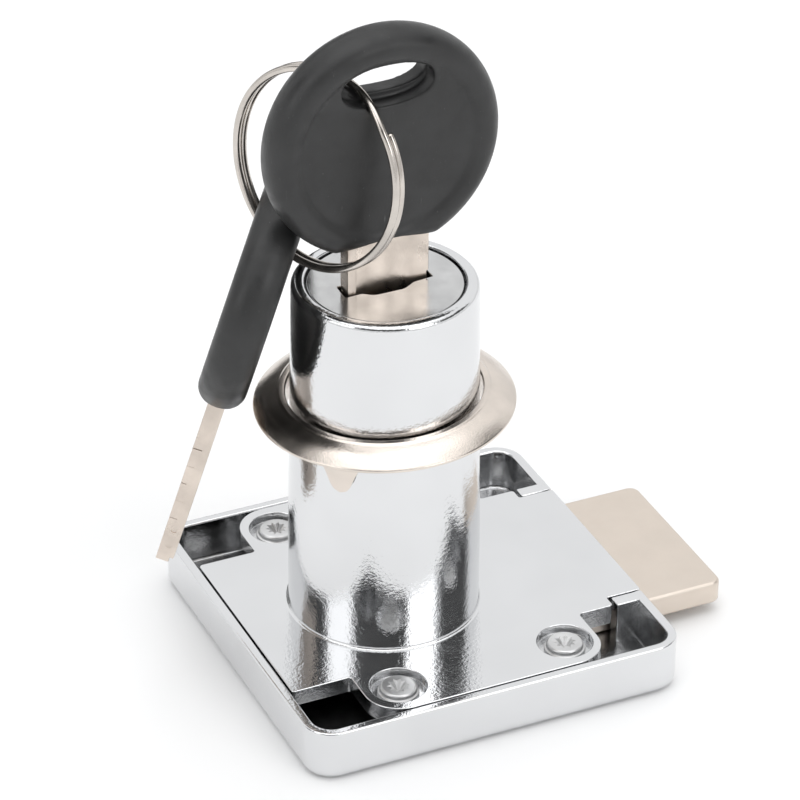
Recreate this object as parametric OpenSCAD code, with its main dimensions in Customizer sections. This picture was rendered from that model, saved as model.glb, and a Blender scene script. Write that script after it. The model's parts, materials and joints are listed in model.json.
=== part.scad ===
// Drawer cam lock: square cast case, barrel with trim ring, half-turn plug that
// throws a flat bolt, and two keys on a split ring.
// Origin: on the barrel axis, at the mounting face (the rim of the case).
// +Z runs up the barrel to the key, +X is the way the bolt throws.

/* [Case] */
// Side of the square case
case_side = 40; // [39:0.5:42]
// Depth of the case, from its back to the rim
case_depth = 5.6; // [5.6:0.1:7]
// Thickness of the case wall
case_wall = 1; // [0.8:0.1:1.2]
// Distance from the barrel axis to the case's centre, towards the bolt
case_shift_x = 4; // [3:0.1:4.5]
// Distance from the barrel axis to the case's centre, sideways
case_shift_y = 0.5; // [0:0.1:0.8]
// Radius of the case's upright corners
case_corner_r = 3; // [2.5:0.1:4]
// Radius of the case's back edges
case_edge_r = 1.2; // [0.6:0.1:1.5]
// Spacing of the four mounting holes, both ways
mount_pitch = 31; // [30:0.5:31.5]
// Diameter of a mounting hole
mount_d = 3.6; // [3:0.1:4]

/* [Barrel] */
// Diameter of the barrel at the mounting face
barrel_d = 19; // [19:0.1:19.2]
// Diameter of the barrel at its outer end
barrel_tip_d = 18.1; // [18:0.1:18.6]
// Height of the barrel above the mounting face
barrel_h = 36.5; // [36:0.5:44]
// Thickness of the cover plate that the barrel stands on
cover_t = 1.75; // [1.6:0.05:1.8]

/* [Bolt] */
// Width of the bolt
bolt_w = 19.4; // [17:0.1:19.4]
// Thickness of the bolt
bolt_t = 2.5; // [2.2:0.1:2.5]
// How far the bolt stands out of the case when it is thrown
bolt_throw = 9.6; // [8:0.1:9.6]

/* [Plug] */
// Diameter of the plug's visible face
face_d = 15.4; // [15:0.1:15.4]
// Diameter of the plug inside the barrel
plug_d = 13; // [12.8:0.1:13]
// Distance from one wafer to the next
wafer_pitch = 1.75; // [1.6:0.05:1.8]
// How far a wafer stands out of the plug when the key is out
wafer_travel = 0.6; // [0.4:0.1:0.8]

/* [Trim ring] */
// Outer diameter of the trim ring
ring_d = 25.6; // [24:0.2:30]
// Height of the trim ring's edge above the mounting face
ring_z = 22.9; // [16:0.1:24]
// How far the trim ring sits out of square
ring_lean = 2; // [0:0.5:2]

/* [Keys] */
// Diameter of a key's round head
head_d = 23.8; // [22:0.2:24]
// Thickness of a key's head at its rim
head_t = 4.8; // [4:0.1:4.8]
// Width of a key's blade
blade_w = 8.66; // [8.4:0.02:8.66]
// Thickness of a key's blade
blade_t = 1.7; // [1.5:0.1:1.8]
// Length of a key's blade below its head
blade_len = 17.5; // [16.5:0.5:18]

/* [Split ring] */
// Diameter of the split ring, measured to the middle of its wire
loop_d = 18.84; // [18.4:0.02:19.2]
// Diameter of the split ring's wire
wire_d = 0.75; // [0.6:0.05:0.8]

/* [Hidden] */

$fn = 64;
eps = 0.01;
fit = 0.05;                       // radial clearance of the plug in its bores
gap = 0.15;                       // clearance between flat sliding faces

// case
floor_t = 1.1;
floor_z = -case_depth + floor_t;
inner_side = case_side - 2 * case_wall;
inner_corner_r = case_corner_r - case_wall;
wall_x = case_shift_x + case_side / 2;
screw_x = 9;
screw_y = 15;
screw_head_r = 2.05;
screw_shank_r = 1.1;
screw_seat = 0.95;
lobe_r = 3.7;
counterbore_r = 2.8;
boss_r = 2.6;
guide_y = bolt_w / 2 + 0.4;       // half the distance between the bolt's guides
guide_t = 1.45;
guide_x = 20.6;
guide_len = 2.5;
pocket_back_x = -8.7;             // where the cover ends beside the rear pockets
pocket_back_y = 11.9;
pocket_front_x = 16.4;            // where the cover ends beside the front pockets
pocket_front_y = 11.4;

// barrel and plug
barrel_r = barrel_d / 2;
barrel_tip_r = barrel_tip_d / 2;
barrel_straight = 8;              // the barrel is parallel this far up, then tapers
barrel_edge_r = 0.7;
face_r = face_d / 2;
plug_r = plug_d / 2;
face_z = barrel_h - 0.25;         // the face lies just inside the barrel's edge
cap_t = 0.8;
flange_z = barrel_h - 1.9;        // shoulder that the plug's flange rests on
plug_bottom = -cover_t + fit;
clip_z = 0.1;
clip_t = 0.8;
clip_r = 7.6;
clip_groove_r = 5.6;
clip_room_r = 8.2;
clip_room_z = 1;
keyway_w = 9.2;
keyway_t = 2.16;
keyway_depth = 13.2;
bulge_r = 2.5;                    // the keyway bulges forwards at its middle
bulge_x = -0.35;
bulge_y = 0.55;

// wafers
wafer_count = 6;
wafer_t = 1;
wafer_w = 5.4;
first_wafer_z = face_z - 2.4;     // middle of the wafer nearest the face
groove_r = 7.7;                   // the barrel's grooves that wafers lock into
tab_w = 1.5;
spring_len = 3.1;
spring_r = 0.4;
spring_wire_r = 0.1;

// drive
pin_e = bolt_throw / 2;           // the pin's distance from the barrel axis
pin_r = 1.4;
pin_slack = 0.22 * pin_e + 0.1;   // a half turn is a straight ratio within this much

// keys, drawn with their origin at the middle of the head
head_r = head_d / 2;
rim_r = head_t / 2;
web_t = 3.2;
head_cut = 10.6;                  // the head is cut flat this far below its middle
head_x = -0.6;                    // the head's middle from the blade's middle line
slot_w = 9.6;
slot_h = 5.2;
slot_z = 6.2;
tang_w = 5;
tang_len = 8;
key_a_pos = [head_x, 0, 51.8];
cut_first = 5;                    // from the head to the first cut
cut_step = 0.2;

// split ring
loop_r = loop_d / 2;
loop_pos = [-5.84, 2.49, 48.65];
loop_turn = [0, 97.9, 28.9];
loop_start = 234;
wire_pitch = wire_d + 0.03;

key_b_pos = [-10.35, 7.5, 33.6];
key_b_turn = [17.4, 14.85, 62.1];

/* ---------- shared shapes ---------- */

// flat square with round corners, centred
module round_square(side, r) {
    square([side - 2 * r, side], center = true);
    square([side, side - 2 * r], center = true);
    for (x = [-1, 1], y = [-1, 1])
        translate([x * (side / 2 - r), y * (side / 2 - r)]) circle(r);
}

// slot-shaped hole through Y
module round_slot(w, h, t) {
    rotate([90, 0, 0]) {
        cube([w - h, h, t], center = true);
        for (x = [-1, 1])
            translate([x * (w - h) / 2, 0, 0]) cylinder(r = h / 2, h = t, center = true);
    }
}

module at_screws() {
    for (x = [-screw_x, screw_x], y = [-screw_y, screw_y])
        translate([case_shift_x + x, case_shift_y + y, 0]) children();
}

module at_mounts() {
    for (x = [-1, 1], y = [-1, 1])
        translate([case_shift_x + x * mount_pitch / 2, case_shift_y + y * mount_pitch / 2, 0])
            children();
}

// half of the case's side view: square at the rim, round at the back
module edge_profile() {
    half = case_side / 2;
    translate([-half, -case_depth + case_edge_r]) square([case_side, case_depth - case_edge_r]);
    translate([-half + case_edge_r, -case_depth])
        square([case_side - 2 * case_edge_r, case_depth]);
    for (x = [-1, 1])
        translate([x * (half - case_edge_r), -case_depth + case_edge_r]) circle(case_edge_r);
}

/* ---------- fixed body ---------- */

module lock_case() color("gainsboro") difference() {
    union() {
        difference() {
            case_block();
            translate([case_shift_x, case_shift_y, floor_z])
                linear_extrude(case_depth) round_square(inner_side, inner_corner_r);
            translate([wall_x - case_wall - eps, case_shift_y - guide_y, floor_z])
                cube([case_wall + 1, 2 * guide_y, case_depth]);
        }
        at_screws() translate([0, 0, floor_z - eps])
            cylinder(r = boss_r, h = -cover_t - floor_z + eps);
        for (y = [-guide_y - guide_t, guide_y])
            translate([guide_x, case_shift_y + y, floor_z - eps])
                cube([guide_len, guide_t, -floor_z + eps]);
    }
    at_screws() translate([0, 0, floor_z]) cylinder(r = screw_shank_r + fit, h = case_depth);
    at_mounts() {
        translate([0, 0, -case_depth - eps]) cylinder(d = mount_d, h = 2 * floor_t);
        translate([0, 0, -case_depth - eps])
            cylinder(r1 = mount_d / 2 + 0.5, r2 = mount_d / 2, h = 0.5);
    }
}

module case_block() {
    translate([case_shift_x, case_shift_y, 0]) intersection() {
        translate([0, 0, -case_depth]) linear_extrude(case_depth)
            round_square(case_side, case_corner_r);
        rotate([90, 0, 0]) linear_extrude(case_side, center = true) edge_profile();
        rotate([90, 0, 90]) linear_extrude(case_side, center = true) edge_profile();
    }
}

module cover_outline() {
    inner = inner_side - 2 * gap;
    difference() {
        translate([case_shift_x, case_shift_y]) round_square(inner, inner_corner_r - gap);
        for (s = [-1, 1]) {
            translate([pocket_back_x - 10, case_shift_y + s * (pocket_back_y + 5)])
                square([20, 10], center = true);
            translate([pocket_front_x + 10, case_shift_y + s * (pocket_front_y + 5)])
                square([20, 10], center = true);
            for (x = [-1, 1])
                translate([case_shift_x + x * (screw_x + 10), case_shift_y + s * (screw_y + 5)])
                    square([20, 10], center = true);
            translate([guide_x - gap + 5, case_shift_y + s * (guide_y - gap + 5)])
                square([10, 10], center = true);
        }
    }
    intersection() {
        translate([case_shift_x, case_shift_y]) round_square(inner, inner_corner_r - gap);
        at_screws() circle(lobe_r);
    }
    translate([guide_x - 2, case_shift_y - guide_y + gap])
        square([wall_x - guide_x + 2, 2 * (guide_y - gap)]);
}

module barrel_outline() {
    top = barrel_h - barrel_edge_r;
    polygon([[0, -cover_t / 2], [barrel_r, -cover_t / 2], [barrel_r, barrel_straight],
             [barrel_tip_r, top], [barrel_tip_r - barrel_edge_r, top],
             [barrel_tip_r - barrel_edge_r, barrel_h], [0, barrel_h]]);
    translate([barrel_tip_r - barrel_edge_r, top]) circle(barrel_edge_r);
}

module barrel_housing() color("gainsboro") difference() {
    union() {
        translate([0, 0, -cover_t]) linear_extrude(cover_t) cover_outline();
        rotate_extrude($fn = 96) barrel_outline();
    }
    translate([0, 0, -cover_t - 1]) cylinder(r = plug_r + fit, h = barrel_h + 2, $fn = 96);
    translate([0, 0, flange_z]) cylinder(r = face_r + fit, h = 3, $fn = 96);
    translate([0, 0, -cover_t - eps])
        cylinder(r = clip_room_r, h = cover_t + clip_room_z + eps, $fn = 96);
    intersection() {
        cylinder(r = groove_r, h = flange_z + eps, $fn = 96);
        cube([2 * groove_r + 2, wafer_w + 0.6, 3 * barrel_h], center = true);
    }
    at_screws() {
        translate([0, 0, -screw_seat]) cylinder(r = counterbore_r, h = 2);
        translate([0, 0, -cover_t - eps]) cylinder(r = screw_shank_r + 0.2, h = 2 * cover_t);
    }
}

module case_screws() color("silver") at_screws() difference() {
    union() {
        translate([0, 0, -screw_seat]) cylinder(r = screw_head_r, h = screw_seat - 0.05);
        translate([0, 0, floor_z + 0.2])
            cylinder(r = screw_shank_r, h = -floor_z - screw_seat);
    }
    for (a = [0, 90]) rotate([0, 0, a]) translate([0, 0, -0.15])
        cube([2.6, 0.6, 0.8], center = true);
}

/* ---------- bolt ---------- */

module bolt() color("wheat") difference() {
    tail_x = -1.5;
    nose_x = wall_x + bolt_throw;
    nose_r = 0.8;
    translate([0, case_shift_y, floor_z + 0.1]) linear_extrude(bolt_t) difference() {
        union() {
            translate([tail_x, -bolt_w / 2]) square([nose_x - nose_r - tail_x, bolt_w]);
            translate([tail_x, nose_r - bolt_w / 2])
                square([nose_x - tail_x, bolt_w - 2 * nose_r]);
            for (y = [-1, 1])
                translate([nose_x - nose_r, y * (bolt_w / 2 - nose_r)]) circle(nose_r);
        }
        translate([pin_e - pin_r - pin_slack, -pin_r - 0.3 - case_shift_y])
            square([2 * (pin_r + pin_slack), pin_e + 2 * pin_r + 0.6]);
    }
}

/* ---------- plug ---------- */

// the keyway's outline, cut downwards from z = 0
module keyway(depth) {
    translate([-keyway_w / 2, -keyway_t / 2, -depth]) cube([keyway_w, keyway_t, depth + 1]);
    intersection() {
        translate([bulge_x, bulge_y, -depth]) cylinder(r = bulge_r, h = depth + 1);
        translate([-keyway_w / 2, -3, -depth]) cube([keyway_w, 3, depth + 1]);
    }
}

function wafer_z(i) = first_wafer_z - (i - 1) * wafer_pitch;
function wafer_side(i) = i % 2 == 1 ? -1 : 1;
function cut_depth(i) = cut_step * ceil(i / 2);

module plug() color("silver") difference() {
    union() {
        translate([0, 0, plug_bottom]) cylinder(r = plug_r, h = flange_z - plug_bottom, $fn = 96);
        translate([0, 0, flange_z + fit])
            cylinder(r = face_r, h = face_z - cap_t - flange_z - fit, $fn = 96);
        translate([0, 0, flange_z - 1]) cylinder(r = plug_r, h = 1.5, $fn = 96);
    }
    translate([0, 0, face_z - cap_t]) keyway(keyway_depth - cap_t);
    difference() {
        translate([0, 0, clip_z - fit]) cylinder(r = plug_r + 1, h = clip_t + 2 * fit, $fn = 96);
        translate([0, 0, clip_z - 1]) cylinder(r = clip_groove_r, h = clip_t + 2, $fn = 96);
    }
    translate([pin_e, 0, -cover_t - 1]) cylinder(r = pin_r, h = 6, $fn = 48);
    for (i = [1:wafer_count]) translate([0, 0, wafer_z(i)]) {
        cube([2 * plug_r + 2, wafer_w + 2 * fit, wafer_t + 2 * fit], center = true);
        mirror([wafer_side(i) > 0 ? 1 : 0, 0, 0]) spring_pocket();
    }
}

module spring_pocket() {
    translate([-1 - wafer_travel - 0.15, wafer_w / 2 - eps, -wafer_t / 2 - fit])
        cube([spring_len + 1 + wafer_travel + 0.25, tab_w + 0.1, wafer_t + 2 * fit]);
}

module plug_face_cap() color("lightgray") difference() {
    union() {
        translate([0, 0, face_z - cap_t]) cylinder(r = face_r, h = cap_t - 0.2, $fn = 96);
        translate([0, 0, face_z - 0.2]) cylinder(r1 = face_r, r2 = face_r - 0.2, h = 0.2, $fn = 96);
    }
    translate([0, 0, face_z]) keyway(cap_t + 1);
}

module drive_pin() color("dimgray")
    translate([pin_e, 0, floor_z + 0.2])
        cylinder(r = pin_r, h = 5 - cover_t - floor_z - 0.2, $fn = 48);

module retaining_clip() color("dimgray") translate([0, 0, clip_z]) difference() {
    cylinder(r = clip_r, h = clip_t, $fn = 96);
    translate([0, 0, -1]) cylinder(r = clip_groove_r + fit, h = clip_t + 2, $fn = 96);
    translate([0, -2.6, -1]) cube([clip_r + 1, 5.2, clip_t + 2]);
}

// Odd wafers are sprung to -X and bear on the blade's +X edge; even ones are mirrored.
module wafer(i) {
    bearing_x = blade_w / 2 - cut_depth(i) + 0.03;
    free_x = blade_w / 2 + 0.12;
    window_t = keyway_t + 0.1;
    color("goldenrod") translate([0, 0, wafer_z(i)]) mirror([wafer_side(i) > 0 ? 1 : 0, 0, 0])
        difference() {
            union() {
                intersection() {
                    cylinder(r = plug_r - 0.08, h = wafer_t, center = true, $fn = 96);
                    cube([2 * plug_r, wafer_w, wafer_t], center = true);
                }
                translate([-1, wafer_w / 2 - eps, -wafer_t / 2]) cube([1, tab_w, wafer_t]);
            }
            translate([-free_x, -window_t / 2, -wafer_t])
                cube([free_x + bearing_x, window_t, 2 * wafer_t]);
        }
}

module wafer_1() wafer(1);
module wafer_2() wafer(2);
module wafer_3() wafer(3);
module wafer_4() wafer(4);
module wafer_5() wafer(5);
module wafer_6() wafer(6);

// A round wire of radius wr wound on radius r, from z0 to z1 along Z.
module coil(r, wr, z0, z1, turns, steps, sides, start) {
    rings = turns * steps;
    points = [for (i = [0:rings], k = [0:sides - 1])
        let (a = start + 360 * i / steps, b = 360 * k / sides, rr = r + wr * cos(b))
            [rr * cos(a), rr * sin(a), z0 + (z1 - z0) * i / rings + wr * sin(b)]];
    walls = [for (i = [0:rings - 1], k = [0:sides - 1])
        let (n = (k + 1) % sides)
            [i * sides + k, i * sides + n, (i + 1) * sides + n, (i + 1) * sides + k]];
    first = [for (k = [sides - 1:-1:0]) k];
    last = [for (k = [0:sides - 1]) rings * sides + k];
    polyhedron(points, concat([for (f = walls) [f[3], f[2], f[1], f[0]]], [last], [first]),
               convexity = 4);
}

module wafer_spring(i) color("slategray")
    translate([0, wafer_w / 2 + tab_w / 2 + 0.05, wafer_z(i)])
        rotate([0, wafer_side(i) * -90, 0])
            coil(spring_r - spring_wire_r, spring_wire_r, spring_wire_r + 0.05,
                 spring_len - spring_wire_r, 4, 8, 4, 0);

module wafer_spring_1() wafer_spring(1);
module wafer_spring_2() wafer_spring(2);
module wafer_spring_3() wafer_spring(3);
module wafer_spring_4() wafer_spring(4);
module wafer_spring_5() wafer_spring(5);
module wafer_spring_6() wafer_spring(6);

/* ---------- trim ring ---------- */

module trim_ring() color("tan") translate([0, 0, ring_z]) rotate([0, -ring_lean, 0]) {
    inner_r = 9.7;
    outer_r = ring_d / 2;
    collar_r = 10.15;
    tab_len = 4.4;
    tab_half = 1.65;
    tab_inset = 0.04;
    rotate_extrude($fn = 128)
        polygon([[inner_r, -1.2], [collar_r, -1.2], [collar_r, 0.95], [collar_r + 0.3, 1.1],
                 [outer_r - 0.2, 0.05], [outer_r - 0.05, 0.1], [outer_r, 0.35],
                 [outer_r - 0.15, 0.55], [collar_r + 0.2, 1.7], [10, 1.75],
                 [inner_r + 0.05, 1.55], [inner_r, 1.1]]);
    for (a = [100, 220, 340]) rotate([0, 0, a]) intersection() {
        difference() {
            translate([0, 0, -tab_len])
                cylinder(r = collar_r - tab_inset, h = tab_len, $fn = 128);
            translate([0, 0, -tab_len - 1])
                cylinder(r = inner_r + tab_inset, h = tab_len + 2, $fn = 128);
        }
        rotate([90, 0, 90]) linear_extrude(12) {
            translate([-tab_half, -tab_len + tab_half]) square([2 * tab_half, tab_len - tab_half]);
            translate([0, -tab_len + tab_half]) circle(tab_half);
        }
    }
}

/* ---------- keys and split ring ---------- */

// The blade's edge steps inwards at each cut, so it never widens towards the tip.
function edge_points(side, wafers) = concat(
    [[side * blade_w / 2, -cut_first + 0.6]],
    [for (i = wafers, end = [0.55, -0.55])
        [side * (blade_w / 2 - cut_depth(i)), -cut_first - (i - 1) * wafer_pitch + end]],
    [[side * (blade_w / 2 - cut_depth(6) - 0.1), -blade_len + 1.2],
     [side * (blade_w / 2 - 2), -blade_len]]);

function reversed(list) = [for (i = [len(list) - 1:-1:0]) list[i]];

module key_blade() translate([-head_x, 0, -head_cut]) difference() {
    union() {
        rotate([90, 0, 0]) linear_extrude(blade_t, center = true)
            polygon(concat([[blade_w / 2, 0]], edge_points(1, [1, 3, 5]),
                           reversed(edge_points(-1, [2, 4, 6])), [[-blade_w / 2, 0]]));
        translate([-tang_w / 2, -blade_t / 2, -1]) cube([tang_w, blade_t, tang_len + 1]);
    }
    translate([-3.4, -blade_t, -blade_len - 1]) cube([blade_w, blade_t / 2 + 0.4, blade_len + 1]);
    translate([-1.2, blade_t / 2 - 0.35, -blade_len - 1]) cube([1.4, blade_t, blade_len + 1]);
}

module key_head() difference() {
    rotate([90, 0, 0]) {
        rotate_extrude($fn = 128) translate([head_r - rim_r, 0]) circle(rim_r);
        cylinder(r = head_r - rim_r, h = web_t, center = true, $fn = 128);
    }
    translate([0, 0, slot_z]) round_slot(slot_w, slot_h, head_t + 2);
    translate([-head_r, -head_t, -head_cut - 5]) cube([head_d, 2 * head_t, 5]);
    translate([-head_x - tang_w / 2, -blade_t / 2, -head_cut - 1])
        cube([tang_w, blade_t, tang_len + 1]);
}

module key_a_blade() color("wheat") translate(key_a_pos) key_blade();
module key_a_head() color("#2c2c2c") translate(key_a_pos) key_head();

module split_ring() color("lightgray") translate(loop_pos) rotate(loop_turn)
    coil(loop_r, wire_d / 2, -wire_pitch, wire_pitch, 2, 40, 8, loop_start);

module key_b_blade() color("wheat") translate(key_b_pos) rotate(key_b_turn) key_blade();
module key_b_head() color("#2c2c2c") translate(key_b_pos) rotate(key_b_turn) key_head();

lock_case();
barrel_housing();
case_screws();
bolt();
plug();
plug_face_cap();
drive_pin();
retaining_clip();
wafer_1();
wafer_2();
wafer_3();
wafer_4();
wafer_5();
wafer_6();
wafer_spring_1();
wafer_spring_2();
wafer_spring_3();
wafer_spring_4();
wafer_spring_5();
wafer_spring_6();
trim_ring();
key_a_blade();
key_a_head();
split_ring();
key_b_blade();
key_b_head();
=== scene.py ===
"""Looks of the drawer cam lock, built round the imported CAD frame.

Named sizes are in millimetres and are turned into the frame's metres by the mesh helpers.
The frame's origin is on the barrel axis at the case's rim, +Z runs up the barrel, and +X is
the way the bolt throws.
"""

import json
import math

import bmesh
import bpy
from mathutils import Matrix, Vector

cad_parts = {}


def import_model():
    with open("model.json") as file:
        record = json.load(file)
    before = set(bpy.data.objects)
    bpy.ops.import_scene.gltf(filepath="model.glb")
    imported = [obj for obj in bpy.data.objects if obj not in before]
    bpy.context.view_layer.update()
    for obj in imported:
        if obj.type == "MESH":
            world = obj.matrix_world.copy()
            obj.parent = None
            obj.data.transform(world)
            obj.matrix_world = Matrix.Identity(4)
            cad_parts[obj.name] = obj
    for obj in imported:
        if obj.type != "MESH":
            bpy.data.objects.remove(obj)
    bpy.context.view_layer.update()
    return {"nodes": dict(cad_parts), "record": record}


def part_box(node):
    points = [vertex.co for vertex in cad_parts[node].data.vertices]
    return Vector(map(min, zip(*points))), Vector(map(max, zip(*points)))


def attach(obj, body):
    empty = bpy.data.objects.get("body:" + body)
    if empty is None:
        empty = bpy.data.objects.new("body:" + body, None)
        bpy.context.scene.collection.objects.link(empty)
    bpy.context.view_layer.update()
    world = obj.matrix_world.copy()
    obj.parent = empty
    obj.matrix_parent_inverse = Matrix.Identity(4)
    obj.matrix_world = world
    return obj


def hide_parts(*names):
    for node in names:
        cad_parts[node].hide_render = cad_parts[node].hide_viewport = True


MM = 0.001

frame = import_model()


# ---------- sizes, from the frame ----------


def box_mm(node):
    """Lowest and highest corner of a CAD node, in millimetres."""
    lo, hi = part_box(node)
    return lo / MM, hi / MM


case_lo, case_hi = box_mm("lock_case")
housing_lo, housing_hi = box_mm("barrel_housing")
bolt_lo, bolt_hi = box_mm("bolt")
cap_lo, cap_hi = box_mm("plug_face_cap")
head_lo, head_hi = box_mm("key_a_head")
blade_lo, blade_hi = box_mm("key_a_blade")
screws_lo, screws_hi = box_mm("case_screws")

case_mid = (case_lo + case_hi) / 2
case_half = (case_hi.x - case_lo.x) / 2
barrel_h = housing_hi.z
cover_t = -housing_lo.z
cap_r = (cap_hi.x - cap_lo.x) / 2
face_z = cap_hi.z
head_r = (head_hi.x - head_lo.x) / 2
head_mid = Vector(((head_lo.x + head_hi.x) / 2, 0, head_hi.z - head_r))
rim_r = (head_hi.y - head_lo.y) / 2
head_cut = head_mid.z - head_lo.z

# case
CASE_WALL = 1.0
CASE_FLOOR = 1.1
CASE_CORNER_R = 3.0
CASE_BACK_R = 1.2
MOUNT_SPREAD = 15.5
MOUNT_R = 1.8
SCREW_X, SCREW_Y = 9.0, 15.0
SEAT_R = 2.8
SEAT_DEPTH = 0.95
BOSS_R = 2.6
GUIDE_Y = 10.1
GUIDE_T = 1.45
GUIDE_X0 = 20.6
COVER_GAP = 0.15
POST_GAP = 0.4
BACK_POCKET_X, BACK_POCKET_Y = -8.7, 11.9
FRONT_POCKET_X, FRONT_POCKET_Y = 16.4, 11.4
LOBE_R = 3.55
COVER_BORE_R = 8.2
# the ribs under the cover, from their lower to their upper side
RIB_LOW, RIB_HIGH = -2.3, -0.4

# screws
SHANK_R = 1.1
# how far the head's flange stands out, and how far below the top it is
HEAD_STEP = 0.22
FLANGE_DROP = 0.5
RECESS_R, RECESS_INNER_R, RECESS_DEPTH = 1.2, 0.78, 0.8
RECESS_FLUTES = 10

# bolt
NOSE_R = 1.1
TAIL_R = 0.3
PIN_SLOT_X0, PIN_SLOT_X1 = 2.24, 7.36
PIN_SLOT_Y0, PIN_SLOT_Y1 = -1.7, 6.5

# barrel
BARREL_R = frame["record"]["mounts"][0]["dims"]["r_mm"]
BARREL_TIP_R = 9.05
BARREL_STRAIGHT = 8.0
BORE_R = 6.55
WAFER_GROOVE_R, WAFER_GROOVE_HALF = 7.7, 3.0
BARREL_FOOT = 0.35
# how far below the plug's face the barrel's mouth narrows to its bore
CAP_SHELF = 1.65
CAP_GAP = 0.14

# trim ring
RING_Z = 22.9
RING_LEAN = 2.0
RING_INNER_R = 9.7
RING_COLLAR_R = 10.15
RING_OUTER_R = 12.8
TAB_LEN = 4.4
TAB_TOP_HALF = 2.5
TAB_END_HALF = 0.95
# the share of a tab's length where its round end starts
TAB_ROUND_FROM = 0.74
TAB_TURNS = (100, 220, 340)

# keys
WEB_T = 3.7
RIM_W = 1.9
SLOT_HALF_W, SLOT_HALF_H, SLOT_Z = 4.7, 2.1, 6.5
# how much smaller the back half of the head's slot is
SLOT_STEP = 0.75
FOOT_R = 2.2
FOOT_ARCH = 0.95
WORN_R = 0.62
TANG_GAP = 0.35
VOXEL = 0.16
BLADE_T = 1.7
BLADE_SHIFT = 0.6
# how far the CAD blade reaches into the head
TANG_LEN = 8.0
FIRST_CUT, CUT_PITCH, CUT_STEP = 5.0, 1.75, 0.2
CUT_HALF = 0.55
KEY_B_AT = (-10.35, 7.5, 33.6)
KEY_B_TURN = (17.4, 14.85, 62.1)

# split ring
LOOP_AT = (-5.84, 2.49, 48.65)
LOOP_R = 9.42
LOOP_SWELL = 0.25
LOOP_TURN = (0, 97.9, 28.9)
LOOP_START = 234
WIRE_R = 0.375
# degrees of wire in all, and where along them it starts to change strand
WIRE_COVER, WIRE_CROSS = 668, 326
# where the two strands gape, in degrees round the ring, and by how many millimetres
GAPE_AT, GAPE_OVER, GAPE_BY = 125, 42, 0.16


# ---------- mesh helpers ----------


def link(name, mesh):
    obj = bpy.data.objects.new(name, mesh)
    bpy.context.scene.collection.objects.link(obj)
    return obj


def new_mesh(name, points, faces):
    """An object from points in millimetres and faces, with its normals turned outwards."""
    mesh = bpy.data.meshes.new(name)
    mesh.from_pydata([Vector(p) * MM for p in points], [], faces)
    work = bmesh.new()
    work.from_mesh(mesh)
    bmesh.ops.recalc_face_normals(work, faces=work.faces)
    work.to_mesh(mesh)
    work.free()
    return link(name, mesh)


def rounded(corners, steps=6):
    """A closed outline from corners (x, y, radius), each turned into an arc."""
    outline = []
    for i, (x, y, r) in enumerate(corners):
        here = Vector((x, y))
        before = (Vector(corners[i - 1][:2]) - here).normalized()
        after = (Vector(corners[(i + 1) % len(corners)][:2]) - here).normalized()
        half = before.angle(after) / 2
        if r <= 0 or half > math.pi / 2 - 0.01:
            outline.append((x, y))
            continue
        middle = here + (before + after).normalized() * (r / math.sin(half))
        start = here + before * (r / math.tan(half)) - middle
        sweep = math.pi - 2 * half
        if start.x * before.y - start.y * before.x > 0:
            sweep = -sweep
        for k in range(steps + 1):
            turn = Matrix.Rotation(sweep * k / steps, 2)
            outline.append(tuple(middle + turn @ start))
    return outline


def circle(r, x=0.0, y=0.0, steps=64):
    angles = [2 * math.pi * k / steps for k in range(steps)]
    return [(x + r * math.cos(a), y + r * math.sin(a)) for a in angles]


def prism(name, outline, z0, z1, top=1.0):
    """An outline pulled up from z0 to z1; top scales its upper end."""
    n = len(outline)
    points = [(x, y, z0) for x, y in outline] + [(x * top, y * top, z1) for x, y in outline]
    faces = [(k, (k + 1) % n, n + (k + 1) % n, n + k) for k in range(n)]
    return new_mesh(name, points, [*faces, tuple(range(n)), tuple(range(n, 2 * n))])


def block(name, x0, x1, y0, y1, z0, z1):
    return prism(name, [(x0, y0), (x1, y0), (x1, y1), (x0, y1)], z0, z1)


def lathe(name, profile, steps=192, closed=True):
    """A profile of (radius, height) turned about Z. A radius of 0 becomes a single point."""
    points, rows = [], []
    for r, z in profile:
        if r < 1e-6:
            rows.append([len(points)] * steps)
            points.append((0, 0, z))
            continue
        rows.append(list(range(len(points), len(points) + steps)))
        points += [(x, y, z) for x, y in circle(r, steps=steps)]
    faces = []
    pairs = list(zip(rows, rows[1:] + rows[:1])) if closed else list(zip(rows, rows[1:]))
    for a, b in pairs:
        for k in range(steps):
            n = (k + 1) % steps
            face = list(dict.fromkeys((a[k], a[n], b[n], b[k])))
            if len(face) > 2:
                faces.append(face)
    return new_mesh(name, points, faces)


def bake(obj):
    """Replaces the object's mesh by what its modifiers make of it."""
    shown = obj.evaluated_get(bpy.context.evaluated_depsgraph_get())
    mesh = bpy.data.meshes.new_from_object(shown)
    obj.modifiers.clear()
    obj.data = mesh
    return obj


def carve(obj, tools, operation="DIFFERENCE"):
    """Cuts the tools out of obj, or joins them to it, and removes them."""
    for tool in tools:
        step = obj.modifiers.new("carve", "BOOLEAN")
        step.operation = operation
        step.solver = "EXACT"
        step.object = tool
        bake(obj)
        bpy.data.objects.remove(tool)
    return obj


def soften(obj, width, segments=3, angle=32):
    """Rounds the sharp edges."""
    step = obj.modifiers.new("soften", "BEVEL")
    step.width = width * MM
    step.segments = segments
    step.limit_method = "ANGLE"
    step.angle_limit = math.radians(angle)
    step.use_clamp_overlap = False
    bake(obj)
    return shade(obj)


def shade(obj, angle=40):
    """Smooth shading, kept crisp at sharp edges and flat on flat faces."""
    obj.data.shade_smooth()
    obj.data.set_sharp_from_angle(angle=math.radians(angle))
    step = obj.modifiers.new("normals", "WEIGHTED_NORMAL")
    step.keep_sharp = True
    return obj


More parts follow.
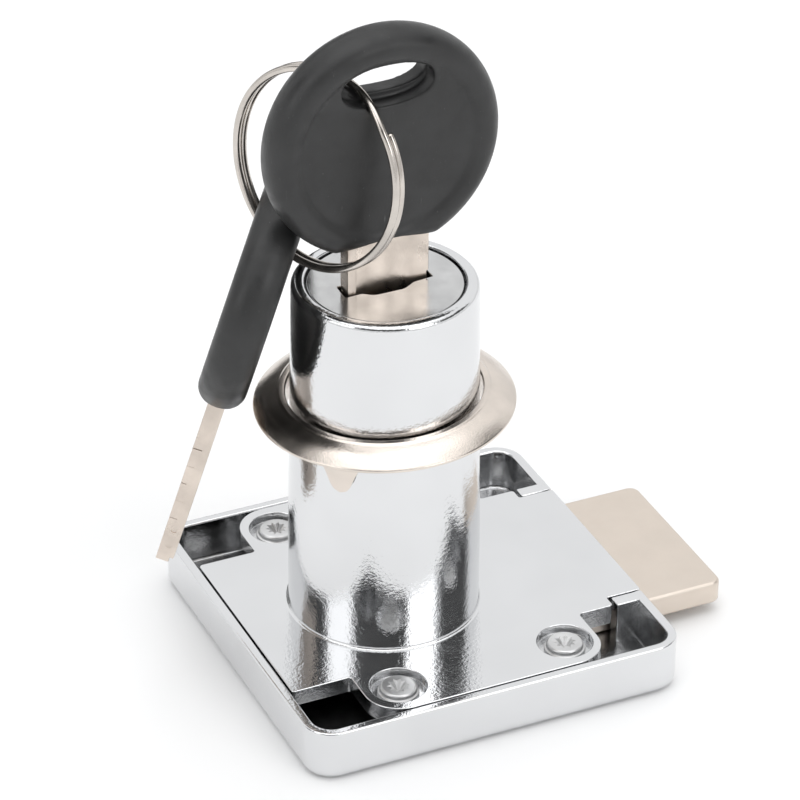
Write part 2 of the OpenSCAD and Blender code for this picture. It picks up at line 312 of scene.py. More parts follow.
def place(obj, at=(0, 0, 0), turn=(0, 0, 0)):
    """Puts the object at a point in millimetres, turned about X, Y and Z in degrees."""
    turned = Matrix.Identity(4)
    for axis, angle in zip("XYZ", turn):
        turned = Matrix.Rotation(math.radians(angle), 4, axis) @ turned
    obj.data.transform(Matrix.Translation(Vector(at) * MM) @ turned)
    return obj


def join(name, parts):
    """One object holding all the parts' faces."""
    work = bmesh.new()
    for part in parts:
        work.from_mesh(part.data)
    mesh = bpy.data.meshes.new(name)
    work.to_mesh(mesh)
    work.free()
    for part in parts:
        bpy.data.objects.remove(part)
    return link(name, mesh)


def piece(obj, body, material, slot, *nodes):
    """Hands a finished piece to the frame."""
    obj.data.materials.clear()
    obj.data.materials.append(material)
    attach(obj, body)
    if nodes:
        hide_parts(*nodes)
    return obj


# ---------- materials ----------


class Finish:
    """A material built from procedural textures in the object's own coordinates."""

    def __init__(self, name, metallic, **sockets):
        self.material = bpy.data.materials.new(name)
        self.material.use_nodes = True
        self.tree = self.material.node_tree
        self.shader = self.tree.nodes["Principled BSDF"]
        self.shader.inputs["Metallic"].default_value = metallic
        for socket, value in sockets.items():
            self.shader.inputs[socket.replace("_", " ")].default_value = value
        self.where = self.tree.nodes.new("ShaderNodeTexCoord").outputs["Object"]
        self.normal = None

    def stretched(self, scale):
        node = self.tree.nodes.new("ShaderNodeMapping")
        node.inputs["Scale"].default_value = scale
        self.tree.links.new(self.where, node.inputs["Vector"])
        return node.outputs["Vector"]

    def noise(self, grain, detail=3.0, stretch=(1, 1, 1), rough=0.5):
        """Noise whose grains are about grain millimetres across."""
        node = self.tree.nodes.new("ShaderNodeTexNoise")
        node.inputs["Scale"].default_value = 1 / (grain * MM)
        node.inputs["Detail"].default_value = detail
        node.inputs["Roughness"].default_value = rough
        self.tree.links.new(self.stretched(stretch), node.inputs["Vector"])
        return node.outputs["Fac"]

    def math(self, operation, a, b=0.0):
        """A maths node on outputs or plain numbers."""
        node = self.tree.nodes.new("ShaderNodeMath")
        node.operation = operation
        for socket, value in zip(node.inputs, (a, b)):
            if isinstance(value, (int, float)):
                socket.default_value = value
            else:
                self.tree.links.new(value, socket)
        return node.outputs["Value"]

    def span(self, value, start, end, low=0.0, high=1.0):
        """Runs from low to high as value goes from start to end, and stays there beyond them."""
        node = self.tree.nodes.new("ShaderNodeMapRange")
        node.inputs["From Min"].default_value = start
        node.inputs["From Max"].default_value = end
        node.inputs["To Min"].default_value = low
        node.inputs["To Max"].default_value = high
        self.tree.links.new(value, node.inputs["Value"])
        return node.outputs["Result"]

    def ramp(self, value, low, high, start=0.35, end=0.65):
        """Runs from colour low to colour high as value goes from start to end."""
        node = self.tree.nodes.new("ShaderNodeValToRGB")
        node.color_ramp.elements[0].position = start
        node.color_ramp.elements[1].position = end
        node.color_ramp.elements[0].color = (*low, 1)
        node.color_ramp.elements[1].color = (*high, 1)
        self.tree.links.new(value, node.inputs["Fac"])
        return node.outputs["Color"]

    def mixed(self, factor, first, second):
        """One colour output fading into another."""
        node = self.tree.nodes.new("ShaderNodeMix")
        node.data_type = "RGBA"
        self.tree.links.new(factor, node.inputs["Factor"])
        self.tree.links.new(first, node.inputs[6])
        self.tree.links.new(second, node.inputs[7])
        return node.outputs[2]

    def feed(self, output, socket):
        self.tree.links.new(output, self.shader.inputs[socket])
        return self

    def colour(self, value, low, high, start=0.35, end=0.65):
        return self.feed(self.ramp(value, low, high, start, end), "Base Color")

    def roughness(self, value, low, high, start=0.35, end=0.65):
        return self.feed(self.span(value, start, end, low, high), "Roughness")

    def inside_tray(self):
        """1 on the surfaces sunk inside the case, fading to 0 towards its rim and 0 on its
        outside walls: the mask for the shade painted into the tray and for its duller finish
        there.
        """
        split = self.tree.nodes.new("ShaderNodeSeparateXYZ")
        self.tree.links.new(self.where, split.inputs["Vector"])
        x, y, z = split.outputs
        off_x = self.math("ABSOLUTE", self.math("SUBTRACT", x, case_mid.x * MM))
        off_y = self.math("ABSOLUTE", self.math("SUBTRACT", y, case_mid.y * MM))
        reach = (case_half - CASE_WALL + 0.3) * MM
        within = self.math("LESS_THAN", self.math("MAXIMUM", off_x, off_y), reach)
        corner_reach = (2 * case_half - 2.46 * CASE_WALL) * MM
        off_corner = self.math("LESS_THAN", self.math("ADD", off_x, off_y), corner_reach)
        within = self.math("MULTIPLY", within, off_corner)
        above = self.math("GREATER_THAN", z, (case_lo.z + CASE_FLOOR - 0.3) * MM)
        # the painted shade grows with depth below the rim
        deep = self.span(z, -0.25 * MM, -1.3 * MM)
        return self.math("MULTIPLY", self.math("MULTIPLY", within, above), deep)

    def bump(self, value, height):
        """Adds relief of about height millimetres, on top of any earlier relief."""
        node = self.tree.nodes.new("ShaderNodeBump")
        node.inputs["Strength"].default_value = 1.0
        node.inputs["Distance"].default_value = height * MM
        self.tree.links.new(value, node.inputs["Height"])
        if self.normal:
            self.tree.links.new(self.normal, node.inputs["Normal"])
        self.normal = node.outputs["Normal"]
        self.tree.links.new(self.normal, self.shader.inputs["Normal"])
        return self


def grey(value, tint=(1, 1, 1)):
    return tuple(value * t for t in tint)


def cast_chrome():
    """Bright plating over a die casting: fine orange peel on a slow waviness. Shade is painted
    into the tray: its inside is coloured darker, more so the deeper it lies, and it is duller
    there too.
    """
    f = Finish("cast_chrome", 1.0)
    bright = f.ramp(f.noise(9, 2), grey(0.725, COOL), grey(0.755, COOL), 0.3, 0.7)
    # painted shade: the inside of the tray gets this darker colour for the shade in its pockets
    painted_shade_inside = f.ramp(f.noise(1.4, 4), grey(0.42, COOL), grey(0.66, COOL), 0.3, 0.7)
    painted_shade_and_dull_mask = f.inside_tray()
    f.feed(f.mixed(painted_shade_and_dull_mask, bright, painted_shade_inside), "Base Color")
    worn = f.span(f.noise(2.5, 4), 0.35, 0.65, 0.05, 0.11)
    f.feed(f.math("ADD", worn, f.math("MULTIPLY", painted_shade_and_dull_mask, 0.16)), "Roughness")
    f.bump(f.noise(8, 1), 0.04)
    f.bump(f.noise(0.5, 2, rough=0.6), 0.024)
    f.bump(f.noise(0.2, 2, rough=0.6), 0.009)
    return f.material


def satin_metal(name, low, high, rough, grain=0.35, lines=(1, 1, 1), relief=0.003):
    """A metal with fine marks, which are drawn out along an axis where lines is below 1."""
    f = Finish(name, 1.0)
    f.colour(f.noise(3.5, 4), low, high)
    f.roughness(f.noise(1.6, 5, lines), *rough)
    f.bump(f.noise(5, 2), 0.008)
    f.bump(f.noise(grain, 4, lines, 0.65), relief)
    return f.material


def black_plastic():
    """Matte moulded plastic with a fine spark-eroded grain and a few rubbed patches."""
    f = Finish("key_plastic", 0.0, Specular_IOR_Level=0.5)
    body = f.ramp(f.noise(5, 4), grey(0.016), grey(0.024, COOL))
    rubbed = f.ramp(f.noise(1, 3), grey(0.045), grey(0.075, COOL))
    specks = f.span(f.noise(0.30, 2, rough=0.7), 0.71, 0.76)
    streaks = f.span(f.noise(0.5, 3, (1, 1, 0.12), 0.7), 0.70, 0.78)
    f.feed(f.mixed(f.math("MAXIMUM", specks, streaks), body, rubbed), "Base Color")
    f.roughness(f.noise(2, 5), 0.33, 0.50)
    f.bump(f.noise(3, 2), 0.006)
    f.bump(f.noise(0.5, 3, (1, 1, 0.15)), 0.010)
    f.bump(f.noise(0.22, 3), 0.012)
    return f.material


COOL = (0.992, 0.998, 1.01)
NICKEL = (1.0, 0.89, 0.785)
TRIM = (1.0, 0.905, 0.82)
RING = (1.0, 0.93, 0.86)
KEY = (1.0, 0.885, 0.785)
chrome = cast_chrome()
bolt_nickel = satin_metal("bolt_nickel", grey(0.70, NICKEL), grey(0.725, NICKEL), (0.34, 0.42))
key_nickel = satin_metal(
    "key_nickel", grey(0.62, KEY), grey(0.76, KEY), (0.26, 0.38), 0.22, (1, 1, 0.5), 0.018
)
trim_nickel = satin_metal(
    "trim_nickel", grey(0.68, TRIM), grey(0.76, TRIM), (0.15, 0.26), 0.22, relief=0.018
)
ring_steel = satin_metal("ring_steel", grey(0.52, RING), grey(0.66, RING), (0.12, 0.24), 0.3)
screw_steel = satin_metal("screw_steel", grey(0.60), grey(0.74), (0.28, 0.42), 0.25, relief=0.010)
cap_steel = satin_metal("cap_steel", grey(0.54), grey(0.63), (0.14, 0.22), 0.22, relief=0.006)
# painted shade: the plug, seen only down the keyhole, is coloured near black for the shade in
# there
plug_zinc = satin_metal("plug_zinc", grey(0.05), grey(0.09), (0.40, 0.50), 0.3)
pin_steel = satin_metal("pin_steel", grey(0.30), grey(0.40), (0.30, 0.42), 0.3)
spring_steel = satin_metal("spring_steel", grey(0.5), grey(0.6), (0.2, 0.3), 0.2)
wafer_brass = satin_metal("wafer_brass", (0.34, 0.22, 0.08), (0.48, 0.33, 0.13), (0.26, 0.38))
plastic = black_plastic()


# ---------- lock body ----------


def square_ring(half, r, z, steps=10):
    """Points round a square with round corners, the same number for every size."""
    corners = [(sx * half, sy * half, r) for sx, sy in ((-1, -1), (1, -1), (1, 1), (-1, 1))]
    return [(case_mid.x + x, case_mid.y + y, z) for x, y in rounded(corners, steps)]


def case_shell():
    """The open tray, as one skin from the middle of its back round to the middle of its floor."""
    z_back, z_floor = case_lo.z, case_lo.z + CASE_FLOOR
    rim, inner_fillet = 0.22, 0.35
    levels = []
    for k in range(9):
        a = math.radians(90 * k / 8)
        levels.append((CASE_BACK_R * (1 - math.sin(a)), z_back + CASE_BACK_R * (1 - math.cos(a))))
    for k in range(4):
        a = math.radians(90 * k / 3)
        levels.append((rim * (1 - math.cos(a)), -rim + rim * math.sin(a)))
    for k in range(4):
        a = math.radians(90 * k / 3)
        levels.append((CASE_WALL - rim * (1 - math.sin(a)), -rim + rim * math.cos(a)))
    for k in range(5):
        a = math.radians(90 * k / 4)
        inset = CASE_WALL + inner_fillet * (1 - math.cos(a))
        levels.append((inset, z_floor + inner_fillet * (1 - math.sin(a))))
    rings = [square_ring(case_half - i, max(CASE_CORNER_R - i, 0.4), z) for i, z in levels]
    n = len(rings[0])
    points = [p for ring in rings for p in ring]
    faces = []
    for j in range(len(rings) - 1):
        for k in range(n):
            m = (k + 1) % n
            faces.append((j * n + k, j * n + m, (j + 1) * n + m, (j + 1) * n + k))
    faces.append(tuple(range(n)))
    faces.append(tuple(range((len(rings) - 1) * n, len(rings) * n)))
    return new_mesh("case_shell", points, faces)


def at_screws():
    return [
        (case_mid.x + sx * SCREW_X, case_mid.y + sy * SCREW_Y) for sx in (-1, 1) for sy in (-1, 1)
    ]


def build_case():
    """The tray with its bolt window, screw bosses, mounting holes and the bolt's guide posts."""
    shell = case_shell()
    z_floor = case_lo.z + CASE_FLOOR
    y = case_mid.y
    wall_x = case_hi.x - CASE_WALL
    carve(shell, [block("t", wall_x - 0.4, case_hi.x + 1, y - GUIDE_Y, y + GUIDE_Y, z_floor, 1)])
    bosses = [prism("t", circle(BOSS_R, *p), z_floor - 0.5, -cover_t - 0.02) for p in at_screws()]
    carve(shell, bosses, "UNION")
    holes = []
    for sx in (-1, 1):
        for sy in (-1, 1):
            at = (case_mid.x + sx * MOUNT_SPREAD, case_mid.y + sy * MOUNT_SPREAD)
            holes.append(prism("t", circle(MOUNT_R, *at, 48), case_lo.z - 1, z_floor + 1))
    carve(shell, holes)
    soften(shell, 0.13, 2)
    posts = []
    for y0 in (y - GUIDE_Y - GUIDE_T, y + GUIDE_Y):
        ends = (GUIDE_X0, wall_x + 0.4, y0, y0 + GUIDE_T, z_floor - 0.5, -0.03)
        posts.append(soften(block("t", *ends), 0.14, 3))
    tray = shade(join("case_tray", [shell, *posts]))
    return piece(tray, "lock_body", chrome, "cast_chrome", "lock_case")


def cover_outline():
    inner = case_half - CASE_WALL - COVER_GAP
    tongue_y = GUIDE_Y - COVER_GAP
    tongue_x = GUIDE_X0 - POST_GAP
    small = 0.35
    upper = [
        (case_hi.x, tongue_y, 0.2),
        (tongue_x, tongue_y, 0.2),
        (tongue_x, FRONT_POCKET_Y, small),
        (FRONT_POCKET_X, FRONT_POCKET_Y, small),
        (FRONT_POCKET_X, inner, LOBE_R - 0.1),
        (BACK_POCKET_X, inner, LOBE_R),
        (BACK_POCKET_X, BACK_POCKET_Y, small),
        (case_mid.x - inner, BACK_POCKET_Y, small),
    ]
    lower = [(x, -y, r) for x, y, r in reversed(upper)]
    return [(x, y + case_mid.y) for x, y in rounded(upper + lower, 10)]


def build_cover():
    """The cover plate, with a rib under it beside each guide post."""
    plate = prism("cover_plate", cover_outline(), -cover_t, 0)
    seats = [prism("t", circle(SEAT_R, x, y), -SEAT_DEPTH, 1) for x, y in at_screws()]
    carve(plate, [*seats, prism("t", circle(COVER_BORE_R), -cover_t - 1, 1)])
    soften(plate, 0.1, 3)
    ribs = []
    for side in (-1, 1):
        y0, y1 = sorted(case_mid.y + side * y for y in (GUIDE_Y + 0.1, FRONT_POCKET_Y - 0.1))
        x0, x1 = FRONT_POCKET_X - 0.5, GUIDE_X0 - POST_GAP - 0.1
        ribs.append(soften(block("t", x0, x1, y0, y1, RIB_LOW, RIB_HIGH), 0.15, 3))
    cover = shade(join("cover", [plate, *ribs]))
    return piece(cover, "lock_body", chrome, "cast_chrome", "barrel_housing")


def build_barrel():
    """The barrel with its base fillet, its taper, its rounded mouth and the wafers' grooves."""
    mouth = cap_r + 0.07
    shelf_z = face_z - CAP_SHELF
    profile = rounded(
        [
            (BORE_R, -cover_t + 0.3, 0),
            (BARREL_R + BARREL_FOOT, -cover_t + 0.3, 0),
            (BARREL_R + BARREL_FOOT, 0.005, 0),
            (BARREL_R, 0.005, BARREL_FOOT - 0.01),
            (BARREL_R, BARREL_STRAIGHT, 3.0),
            (BARREL_TIP_R, barrel_h, 0.62),
            (mouth, barrel_h, 0.22),
            (mouth, shelf_z, 0),
            (BORE_R, shelf_z, 0),
        ],
        8,
    )
    barrel = lathe("barrel", profile, 256)
    x, y = WAFER_GROOVE_R, WAFER_GROOVE_HALF
    carve(barrel, [block("t", -x, x, -y, y, -cover_t - 1, shelf_z - 0.1)])
    shade(barrel, 50)
    return piece(barrel, "lock_body", chrome, "cast_chrome", "barrel_housing")


def petals(points, outer, inner):
    """A star outline, for the pressed recess in a screw's head."""
    return [
        tuple(Matrix.Rotation(math.pi * k / points, 2) @ Vector((inner if k % 2 else outer, 0)))
        for k in range(2 * points)
    ]


def build_screws():
    """Flat heads with a rounded edge above a low flange, and a fluted recess in the middle."""
    r = (screws_hi.x - screws_lo.x) / 2 - SCREW_X
    top, foot = screws_hi.z, case_lo.z + 1.5
    profile = rounded(
        [
            (0, top, 0),
            (r - HEAD_STEP, top, 0.26),
            (r - HEAD_STEP, top - FLANGE_DROP, 0.05),
            (r, top - FLANGE_DROP - 0.05, 0.08),
            (r, -SEAT_DEPTH, 0),
            (SHANK_R, -SEAT_DEPTH, 0),
            (SHANK_R, foot, 0),
            (0, foot, 0),
        ],
        6,
    )
    star = petals(RECESS_FLUTES, RECESS_R, RECESS_INNER_R)
    made = []
    for i, (x, y) in enumerate(at_screws()):
        head = lathe("t", profile, 64, closed=False)
        carve(head, [prism("t", star, top + 0.05, top - RECESS_DEPTH, 0.12)])
        made.append(place(head, (x, y, 0), (0, 0, 20 + 37 * i)))
    screws = shade(join("case_screw_heads", made), 30)
    return piece(screws, "lock_body", screw_steel, "screw_steel", "case_screws")


def build_bolt():
    """The flat bolt, with the slot that the drive pin runs in."""
    y0, y1 = bolt_lo.y, bolt_hi.y
    corners = [
        (bolt_lo.x, y0, TAIL_R),
        (bolt_hi.x, y0, NOSE_R),
        (bolt_hi.x, y1, NOSE_R),
        (bolt_lo.x, y1, TAIL_R),
    ]
    outline = rounded(corners, 8)
    plate = prism("bolt_plate", outline, bolt_lo.z, bolt_hi.z)
    soften(plate, 0.32, 4)
    plate.modifiers.clear()
    ends = (PIN_SLOT_X0, PIN_SLOT_X1, PIN_SLOT_Y0, PIN_SLOT_Y1, bolt_lo.z - 1, bolt_hi.z + 1)
    carve(plate, [block("t", *ends)])
    shade(plate)
    return piece(plate, "bolt", bolt_nickel, "bolt_nickel", "bolt")


# ---------- plug face and trim ring ----------


def build_cap():
    """The polished face with its keyhole, which bulges forwards at its middle."""
    disc = prism("plug_cap", circle(cap_r - CAP_GAP, steps=160), cap_lo.z, cap_hi.z)
    lip = 0.12
    hole = [
        (4.6, 1.08, lip),
        (-4.6, 1.08, lip),
        (-4.6, -1.08, lip),
        (-2.9, -1.0, 0.8),
        (-1.9, -1.75, 1.2),
        (1.2, -1.75, 1.2),
        (2.5, -0.95, 0.9),
        (4.6, -0.75, lip),
    ]
    carve(disc, [prism("t", rounded(hole, 6), cap_lo.z - 1, cap_hi.z + 1)])
    soften(disc, 0.14, 3)
    return piece(disc, "plug", cap_steel, "cap_steel", "plug_face_cap")


def tab_half_width(v):
    """Half the tab's width a share v of the way down: flared at the ring, round at the end."""
    flare = TAB_TOP_HALF + (TAB_END_HALF - TAB_TOP_HALF) * (3 * v * v - 2 * v**3) ** 0.8
    if v <= TAB_ROUND_FROM:
        return flare
    u = (v - TAB_ROUND_FROM) / (1 - TAB_ROUND_FROM)
    return flare * math.sqrt(max(1 - u**2.4, 0.01))


def trim_tab(turn):
    """One of the sprung tabs under the trim ring."""
    rows, columns = 18, 8
    points = []
    for r in (RING_INNER_R, RING_COLLAR_R):
        for j in range(rows + 1):
            half = tab_half_width(j / rows)
            for k in range(columns + 1):
                a = half * (2 * k / columns - 1) / RING_INNER_R
                points.append((r * math.cos(a), r * math.sin(a), -TAB_LEN * j / rows))
    wide = columns + 1
    layer = wide * (rows + 1)
    faces = []
    for j in range(rows):
        for k in range(columns):
            a = j * wide + k
            faces.append((a, a + 1, a + wide + 1, a + wide))
            faces.append((layer + a, layer + a + wide, layer + a + wide + 1, layer + a + 1))
    rim = list(range(columns))
    rim += [columns + j * wide for j in range(rows)]
    rim += [rows * wide + columns - k for k in range(columns)]
    rim += [(rows - j) * wide for j in range(rows)]
    for i, a in enumerate(rim):
        b = rim[(i + 1) % len(rim)]
        faces.append((a, layer + a, layer + b, b))
    return place(new_mesh("t", points, faces), turn=(0, 0, turn))


def build_trim():
    """The dished ring on the barrel, a little out of square."""
    band = []
    for k in range(13):
        u = k / 12
        r = RING_OUTER_R - 0.1 - (RING_OUTER_R - RING_COLLAR_R - 0.4) * u
        band.append((r, 0.40 + 1.22 * u + 0.17 * math.sin(math.pi * u), 0.5))
    profile = rounded(
        [
            (RING_INNER_R, -1.2, 0.1),
            (RING_COLLAR_R, -1.2, 0.1),
            (RING_COLLAR_R, 0.98, 0.35),
            (RING_OUTER_R - 0.22, 0.0, 0.15),
            (RING_OUTER_R, 0.08, 0.06),
            (RING_OUTER_R, 0.3, 0.06),
            *band,
            (RING_COLLAR_R + 0.08, 1.78, 0.12),
            (RING_INNER_R, 1.78, 0.12),
            (RING_INNER_R - 0.1, 1.5, 0.1),
            (RING_INNER_R, 0.6, 0.2),
        ],
        4,
    )
    flange = lathe("t", profile, 256)
    trim = join("trim_flange", [flange, *[trim_tab(a) for a in TAB_TURNS]])
    place(trim, (0, 0, RING_Z), (0, -RING_LEAN, 0))
    return piece(shade(trim, 50), "trim_ring", trim_nickel, "trim_nickel", "trim_ring")


# ---------- keys and split ring ----------


def key_head(name, wire):
    """A round plastic head about its own middle, with a thick round rim and a flat sunk middle.

    The split ring's wire has worn a round channel where it crosses the slot: wire is a point
    on it and its direction there.
    """
    foot_angle = math.pi - math.asin(WEB_T / 2 / rim_r)
    profile = [(0, -WEB_T / 2, 0)]
    for k in range(25):
        a = foot_angle * (k / 12 - 1)
        blend = 0.9 if k in (0, 24) else 0
        profile.append((head_r - RIM_W + RIM_W * math.cos(a), rim_r * math.sin(a), blend))
    profile.append((0, WEB_T / 2, 0))
    head = place(lathe(name, rounded(profile), 160, closed=False), turn=(90, 0, 0))
    slots = []
    for step, y0, y1 in ((0, 0, 5), (SLOT_STEP, -5, 0.1)):
        half_w, half_h = SLOT_HALF_W - step * 0.6, SLOT_HALF_H - step / 2
        outline = []
        for k in range(64):
            c, t = math.cos(math.pi * k / 32), math.sin(math.pi * k / 32)
            x = math.copysign(abs(c) ** 0.87, c) * half_w + step * 0.4
            z = math.copysign(abs(t) ** 0.87, t) * half_h + SLOT_Z + step / 2
            outline.append((x, z))
        slots.append(place(prism("t", outline, y0, y1), turn=(90, 0, 0)))
    hollow = [(4.8 - 9.0 * k / 12, FOOT_ARCH * math.sin(math.pi * k / 12)) for k in range(13)]
    foot = [(-head_r, -5), (head_r, -5), (head_r, 0), *hollow, (-head_r, 0)]
    foot_tool = prism("t", [(x, z - head_cut) for x, z in foot], -5, 5)
    end = [(-5, -5), (5, -5), (5, FOOT_R)]
    for k in range(25):
        a = math.pi * k / 24
        y = math.copysign(0.5, math.cos(a)) if k != 12 else 0
        end.append((y + (rim_r - 0.48) * math.cos(a), FOOT_R - FOOT_R * math.sin(a)))
    end.append((-5, FOOT_R))
    end_tool = prism("t", [(y, z - head_cut) for y, z in end], -head_r, head_r)
    recess = block(
        "t",
        blade_lo.x - head_mid.x - TANG_GAP,
        blade_hi.x - head_mid.x + TANG_GAP,
        -BLADE_T / 2 - TANG_GAP,
        BLADE_T / 2 + TANG_GAP,
        -head_cut - 1,
        -head_cut + 1.7,
    )
    worn = prism("t", circle(WORN_R, steps=32), -6, 6)
    point, along = wire
    tilt = Vector((0, 0, 1)).rotation_difference(Vector(along)).to_matrix().to_4x4()
    worn.data.transform(Matrix.Translation(Vector(point) * MM) @ tilt)
    place(foot_tool, turn=(90, 0, 0))
    place(end_tool, turn=(90, 0, 90))
    carve(head, [*slots, foot_tool, end_tool, recess, worn])
    skin = head.modifiers.new("skin", "REMESH")
    skin.mode = "VOXEL"
    skin.voxel_size = VOXEL * MM
    smooth = head.modifiers.new("smooth", "SMOOTH")
    smooth.factor = 0.5
    smooth.iterations = 6
    bake(head)
    head.data.shade_smooth()
    return head


def key_blade(name):
    """The blade and a short stub of it in the head, with its milled step, groove and marks.

    The longer, narrower tang is hidden inside the head and is left to the CAD node.
    """
    half = (blade_hi.x - blade_lo.x) / 2
    length = blade_hi.z - blade_lo.z - TANG_LEN
    bottom = -length - 1

    def edge(side, cuts):
        points = [(side * half, -FIRST_CUT + 0.6)]
        for i in cuts:
            x = side * (half - CUT_STEP * math.ceil(i / 2))
            z = -FIRST_CUT - (i - 1) * CUT_PITCH
            points += [(x, z + CUT_HALF), (x, z - CUT_HALF)]
        points.append((side * (half - CUT_STEP * 3 - 0.1), -length + 1.2))
        points.append((side * (half - 1.1), -length))
        return points

    outline = [(half, 3), *edge(1, (1, 3, 5)), *reversed(edge(-1, (2, 4, 6))), (-half, 3)]
    blade = place(prism(name, outline, -BLADE_T / 2, BLADE_T / 2), turn=(90, 0, 0))
    mill = block("t", -3.4, half + 1, -BLADE_T, -BLADE_T / 2 + 0.4, bottom, 3.5)
    groove = block("t", -1.2, 0.2, BLADE_T / 2 - 0.35, BLADE_T, bottom, 3.5)
    carve(blade, [mill, groove])
    soften(blade, 0.08, 2)
    blade.modifiers.clear()
    marks = []
    for k in range(6):
        z = -5.2 - 1.9 * k
        depth = -half + CUT_STEP * math.floor((-z - FIRST_CUT) / CUT_PITCH / 2 + 1.2) + 0.04
        marks.append(block("t", -half - 1, depth, 0.2 * (k % 3) - 0.1, 1.2, z - 0.06, z + 0.06))
    for z in (-length + 1.8, -length + 3.5):
        dent = lathe("t", [(0, -0.06), (0.27, -0.04), (0.34, 0.4), (0, 0.4)], 20, closed=False)
        marks.append(place(dent, (-half + CUT_STEP * 3 + 0.08, 0, z), (0, -90, 0)))
    carve(blade, marks)
    shade(blade)
    return place(blade, (BLADE_SHIFT, 0, -head_cut))


def split_ring_path(steps=160):
    """The wire's middle line and its angle along it: a flat coil that changes strand once."""
    path = []
    count = int(WIRE_COVER / 360 * steps)
    for i in range(count + 1):
        s = WIRE_COVER * i / count
        t = min(max((s - WIRE_CROSS) / (360 - WIRE_CROSS), 0), 1)
        off = (LOOP_START + s - GAPE_AT + 180) % 360 - 180
        spread = GAPE_BY * math.exp(-((off / GAPE_OVER) ** 2))
        height = (WIRE_R + 0.015 + spread) * (1 - 2 * t * t * (3 - 2 * t))
        a = math.radians(LOOP_START + s)
        r = LOOP_R + LOOP_SWELL * (0.3 + math.cos(2 * a - math.radians(320))) + spread
        path.append((Vector((r * math.cos(a), r * math.sin(a), height)), a))
    return path


def build_split_ring():
    """Nearly two turns of round wire with rounded ends."""
    sides = 20
    path = split_ring_path()
    # how far along from the end, and the share of the wire's radius there
    ends = ((0.0, 0.55), (0.12, 0.88), (0.3, 1.0))
    rings = []
    for i, (point, a) in enumerate(path):
        out = Vector((math.cos(a), math.sin(a), 0))
        along = Vector((-math.sin(a), math.cos(a), 0))
        if i == 0:
            rings += [(point + along * (d - 0.3), out, f) for d, f in ends]
        elif i == len(path) - 1:
            rings += [(point - along * (d - 0.3), out, f) for d, f in reversed(ends)]
        else:
            rings.append((point, out, 1.0))
    points = []
    for point, out, f in rings:
        for k in range(sides):
            b = 2 * math.pi * k / sides
            offset = out * math.cos(b) + Vector((0, 0, 1)) * math.sin(b)
            points.append(point + offset * WIRE_R * f)
    faces = []
    for j in range(len(rings) - 1):
        for k in range(sides):
            m = (k + 1) % sides
            faces.append((j * sides + k, j * sides + m, (j + 1) * sides + m, (j + 1) * sides + k))
    faces.append(tuple(range(sides)))
    faces.append(tuple(range((len(rings) - 1) * sides, len(rings) * sides)))
    ring = shade(new_mesh("split_ring_wire", points, faces), 50)
    place(ring, LOOP_AT, LOOP_TURN)
    return piece(ring, "key_ring", ring_steel, "ring_steel", "split_ring")


def build_keys():
    """Both keys: letter, middle of the head, turn, and the wire's place and direction in it."""
    keys = (
        ("a", head_mid, (0, 0, 0), ((-2.49, 0, 5.51), (-0.404, 0.837, 0.369))),
        ("b", KEY_B_AT, KEY_B_TURN, ((-2.5, 0.15, 6.74), (0.393, 0.843, 0.368))),
    )
    for letter, at, turn, wire in keys:
        head = place(key_head(f"key_{letter}_grip", wire), at, turn)
        piece(head, f"key_{letter}", plastic, "key_plastic", f"key_{letter}_head")
        blade = place(key_blade(f"key_{letter}_shank"), at, turn)
        piece(blade, f"key_{letter}", key_nickel, "key_nickel", f"key_{letter}_blade")


# ---------- build ----------

build_case()
build_cover()
build_barrel()
build_screws()
build_bolt()
build_cap()
build_trim()
build_split_ring()
build_keys()

NODE_FINISH = {
    # the plug takes the near-black colour that paints the shade in the keyhole
    "plug": plug_zinc,
    "drive_pin": pin_steel,
    "retaining_clip": pin_steel,
}
for i in range(1, 7):
    NODE_FINISH[f"wafer_{i}"] = wafer_brass
    NODE_FINISH[f"wafer_spring_{i}"] = spring_steel
for node, material in NODE_FINISH.items():
    mesh = frame["nodes"][node].data
    mesh.materials.clear()
    mesh.materials.append(material)


# ---------- studio ----------


def floor():
    size = 4000
    flat = [(-size, -size, 0), (size, -size, 0), (size, size, 0), (-size, size, 0)]
    obj = place(new_mesh("floor", flat, [(0, 1, 2, 3)]), (0, 0, case_lo.z - 0.01))
    f = Finish("floor", 0.0)
    f.colour(f.noise(400, 2), grey(0.95), grey(0.96))
    f.shader.inputs["Roughness"].default_value = 0.7
    obj.data.materials.append(f.material)


def softbox(name, at, aim, size, power):
    """A rectangular light at a point in millimetres, facing another."""
    light = bpy.data.lights.new(name, "AREA")
    light.shape = "RECTANGLE"
    light.size, light.size_y = size[0] * MM, size[1] * MM
    light.energy = power
    obj = link(name, light)
    obj.location = Vector(at) * MM
    obj.rotation_euler = (Vector(aim) - Vector(at)).to_track_quat("-Z", "Y").to_euler()


# Dark flags round the set, as (from, to) degrees round the vertical from the camera's side,
# and (from, to) heights of the direction's Z.
FLAGS = (
    ((-106, -72), (0.36, 0.74)),
    ((-36, 31), (0.36, 0.74)),
    ((70, 121), (0.36, 0.68)),
    ((-176, -132), (0.06, 0.36)),
)
FLAG_DARK = 0.91
FLAG_EDGE, FLAG_EDGE_Z = 6, 0.04
LEVEL_LOW, LEVEL_RISE, LEVEL_OVERHEAD = 0.72, 0.28, 1.0


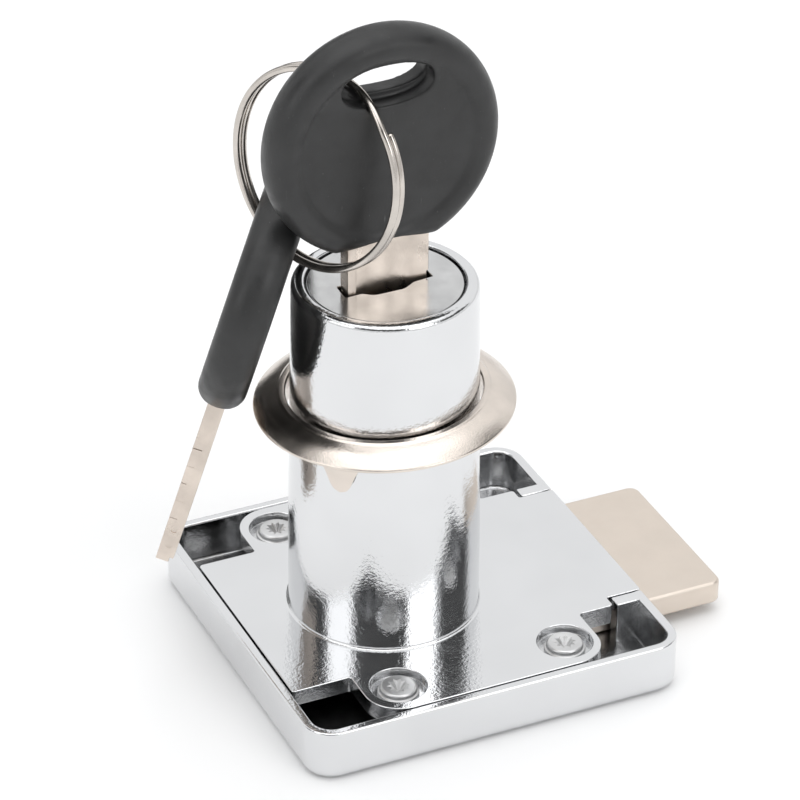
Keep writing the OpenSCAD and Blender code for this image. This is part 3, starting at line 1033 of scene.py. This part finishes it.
def world():
    """An even pale studio with dark flags, which only the mirror-like parts show."""
    made = bpy.data.worlds.new("studio")
    bpy.context.scene.world = made
    made.use_nodes = True
    tree = made.node_tree

    def math_node(operation, a, b=0.0):
        node = tree.nodes.new("ShaderNodeMath")
        node.operation = operation
        for socket, value in zip(node.inputs, (a, b)):
            if isinstance(value, (int, float)):
                socket.default_value = value
            else:
                tree.links.new(value, socket)
        return node.outputs["Value"]

    def ease(value, start, end):
        node = tree.nodes.new("ShaderNodeMapRange")
        node.interpolation_type = "SMOOTHSTEP"
        node.inputs["From Min"].default_value = start
        node.inputs["From Max"].default_value = end
        tree.links.new(value, node.inputs["Value"])
        return node.outputs["Result"]

    def band(value, low, high, edge):
        rise, fall = ease(value, low - edge, low + edge), ease(value, high + edge, high - edge)
        return math_node("MULTIPLY", rise, fall)

    where = tree.nodes.new("ShaderNodeTexCoord")
    turned = tree.nodes.new("ShaderNodeVectorRotate")
    turned.rotation_type = "Z_AXIS"
    turned.inputs["Angle"].default_value = math.radians(90 - CAMERA_AZIMUTH)
    tree.links.new(where.outputs["Generated"], turned.inputs["Vector"])
    parts = tree.nodes.new("ShaderNodeSeparateXYZ")
    tree.links.new(turned.outputs["Vector"], parts.inputs["Vector"])
    angle = math_node("ARCTAN2", parts.outputs["Y"], parts.outputs["X"])
    dark = 0.0
    for (a0, a1), (z0, z1) in FLAGS:
        across = band(angle, math.radians(a0), math.radians(a1), math.radians(FLAG_EDGE))
        flag = math_node("MULTIPLY", across, band(parts.outputs["Z"], z0, z1, FLAG_EDGE_Z))
        dark = math_node("ADD", dark, flag)
    horizon = ease(parts.outputs["Z"], -0.1, 0.35)
    overhead = ease(parts.outputs["Z"], 0.78, 0.95)
    level = math_node("ADD", math_node("MULTIPLY", horizon, LEVEL_RISE), LEVEL_LOW)
    level = math_node("ADD", level, math_node("MULTIPLY", overhead, LEVEL_OVERHEAD))
    shade_left = math_node("SUBTRACT", 1.0, math_node("MULTIPLY", dark, FLAG_DARK))
    lit = math_node("MULTIPLY", level, shade_left)
    tree.links.new(lit, tree.nodes["Background"].inputs["Strength"])
    tree.nodes["Background"].inputs["Color"].default_value = (0.99, 0.995, 1.0, 1)


CAMERA_AT = (-143.631, -313.331, 238.392)
CAMERA_AZIMUTH = -24.874
CAMERA_ELEVATION = 32.002
CAMERA_ROLL = 0.477
CAMERA_LENS = 188.53


def camera():
    data = bpy.data.cameras.new("camera")
    data.sensor_width = 36
    data.lens = CAMERA_LENS
    data.clip_start, data.clip_end = 0.01, 20
    obj = link("camera", data)
    a, e = math.radians(CAMERA_AZIMUTH), math.radians(CAMERA_ELEVATION)
    back = Vector((math.sin(a) * math.cos(e), -math.cos(a) * math.cos(e), math.sin(e)))
    aimed = (-back).to_track_quat("-Z", "Y").to_matrix().to_4x4()
    roll = Matrix.Rotation(math.radians(CAMERA_ROLL), 4, "Z")
    obj.matrix_world = Matrix.Translation(Vector(CAMERA_AT) * MM) @ aimed @ roll
    bpy.context.scene.camera = obj


floor()
world()
softbox("key_light", (-557, -99, 412), (0, 0, 20), (340, 300), 0.26)
softbox("fill_light", (204, -528, 412), (0, 0, 20), (360, 300), 0.52)
camera()
bpy.context.scene.view_settings.view_transform = "Standard"
